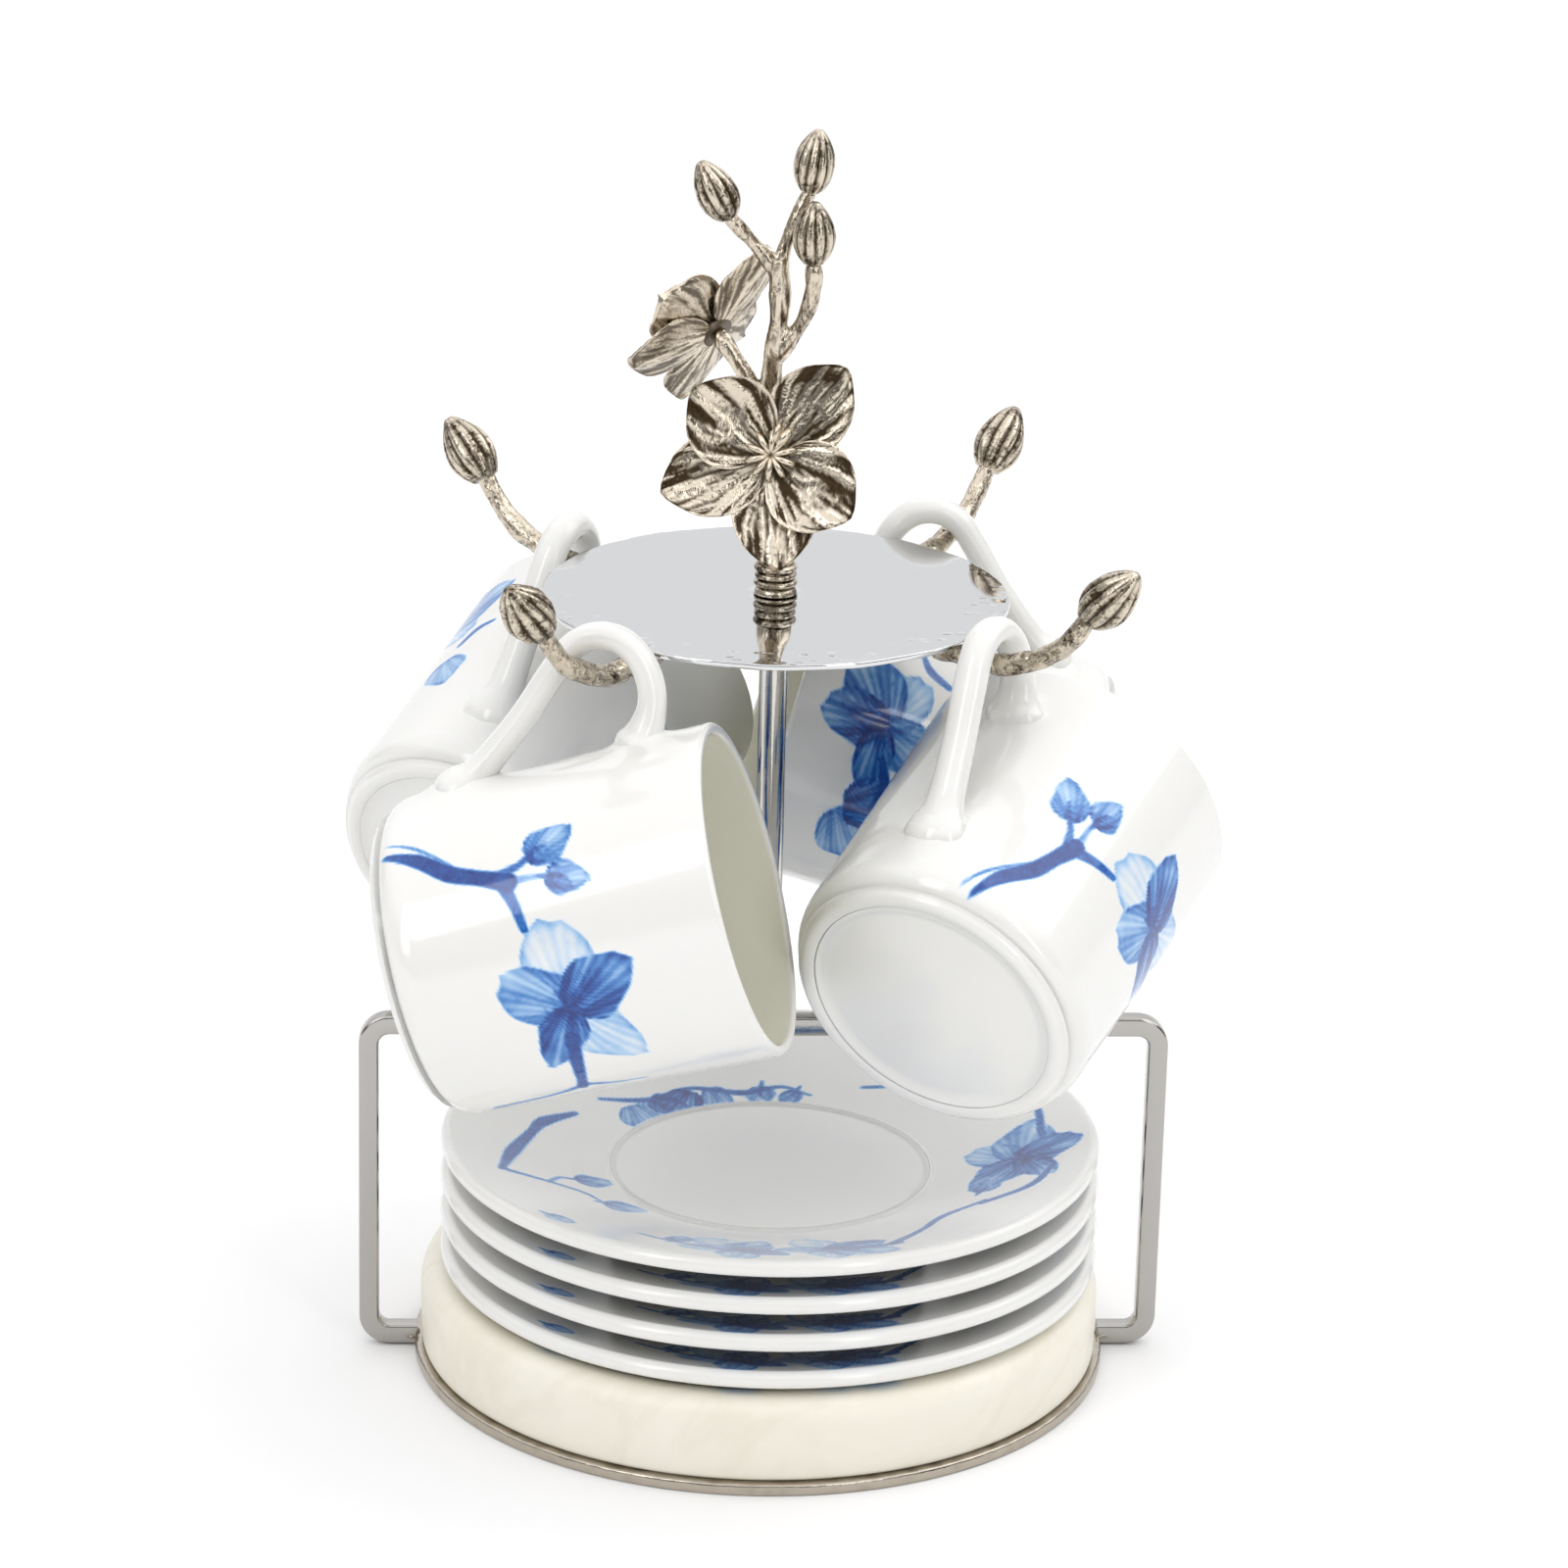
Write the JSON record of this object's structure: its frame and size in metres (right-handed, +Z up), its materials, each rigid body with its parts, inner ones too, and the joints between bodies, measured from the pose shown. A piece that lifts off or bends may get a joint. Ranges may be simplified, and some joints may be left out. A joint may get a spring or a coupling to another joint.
{
  "type": "mug tree",
  "caption": "Mug tree with a dished stone base, a metal bow over a stack of saucers, and a column with branch hooks for hung espresso cups under a blossom finial.",
  "frame": {"origin": "centre of the base's underside, on the table", "axes": "+Z up along the column, +X to the right along the bow, -Y towards the front"},
  "size_m": [0.1556, 0.159, 0.2277],
  "materials": {
    "stone": "honed, semi-gloss",
    "polished_nickel": "polished",
    "satin_nickel": "satin",
    "hammered_nickel": "hammered and brushed",
    "cast_nickel": "cast, polished on the high places, oxidised in the recesses",
    "steel": "plain",
    "felt": "felt",
    "porcelain": "glossy glaze with a cobalt decoration"
  },
  "bodies": {
    "stand": {"base_slab": "stone", "base_hoop": "hammered_nickel", "felt_pad": "felt", "bow_bar": "satin_nickel", "column": "polished_nickel", "tie_rod": "steel", "rod_washer": "steel", "rod_nut": "steel", "top_plate": "polished_nickel", "hook_front_right": "cast_nickel", "hook_back_right": "cast_nickel", "hook_back_left": "cast_nickel", "hook_front_left": "cast_nickel", "finial_collar": "cast_nickel", "blossom_stem": "cast_nickel", "bud_left": "cast_nickel", "bud_top": "cast_nickel", "bud_middle": "cast_nickel", "front_orchid": "cast_nickel", "front_orchid_heart": "cast_nickel", "rear_orchid": "cast_nickel", "rear_orchid_heart": "cast_nickel"},
    "hung_cup_front_right": {"cup_front_right": "porcelain", "handle_front_right": "porcelain"},
    "hung_cup_back_right": {"cup_back_right": "porcelain", "handle_back_right": "porcelain"},
    "hung_cup_back_left": {"cup_back_left": "porcelain", "handle_back_left": "porcelain"},
    "hung_cup_front_left": {"cup_front_left": "porcelain", "handle_front_left": "porcelain"},
    "stacked_saucer_1": {"saucer_1": "porcelain"},
    "stacked_saucer_2": {"saucer_2": "porcelain"},
    "stacked_saucer_3": {"saucer_3": "porcelain"},
    "stacked_saucer_4": {"saucer_4": "porcelain"}
  },
  "joints": [
    {"name": "cup_front_right_swing", "type": "hinge", "parent": "stand", "child": "hung_cup_front_right", "pos_m": [0.03539, -0.02876, 0.14642], "axis": [-0.6307, -0.776, 0], "range_deg": [0, 10]},
    {"name": "cup_back_right_swing", "type": "hinge", "parent": "stand", "child": "hung_cup_back_right", "pos_m": [0.03134, 0.03857, 0.14874], "axis": [0.776, -0.6307, 0], "range_deg": [0, 10]},
    {"name": "cup_back_left_swing", "type": "hinge", "parent": "stand", "child": "hung_cup_back_left", "pos_m": [-0.03671, 0.02983, 0.14708], "axis": [0.6307, 0.776, 0], "range_deg": [0, 10]},
    {"name": "cup_front_left_swing", "type": "hinge", "parent": "stand", "child": "hung_cup_front_left", "pos_m": [-0.03204, -0.03942, 0.14898], "axis": [-0.776, 0.6307, 0], "range_deg": [0, 10]},
    {"name": "saucer_1_lift", "type": "slide", "parent": "stand", "child": "stacked_saucer_1", "axis": [0, 0, 1], "range_m": [0, 0.003]},
    {"name": "saucer_2_lift", "type": "slide", "parent": "stacked_saucer_1", "child": "stacked_saucer_2", "axis": [0, 0, 1], "range_m": [0, 0.003]},
    {"name": "saucer_3_lift", "type": "slide", "parent": "stacked_saucer_2", "child": "stacked_saucer_3", "axis": [0, 0, 1], "range_m": [0, 0.003]},
    {"name": "saucer_4_lift", "type": "slide", "parent": "stacked_saucer_3", "child": "stacked_saucer_4", "axis": [0, 0, 1], "range_m": [0, 0.003]}
  ]
}
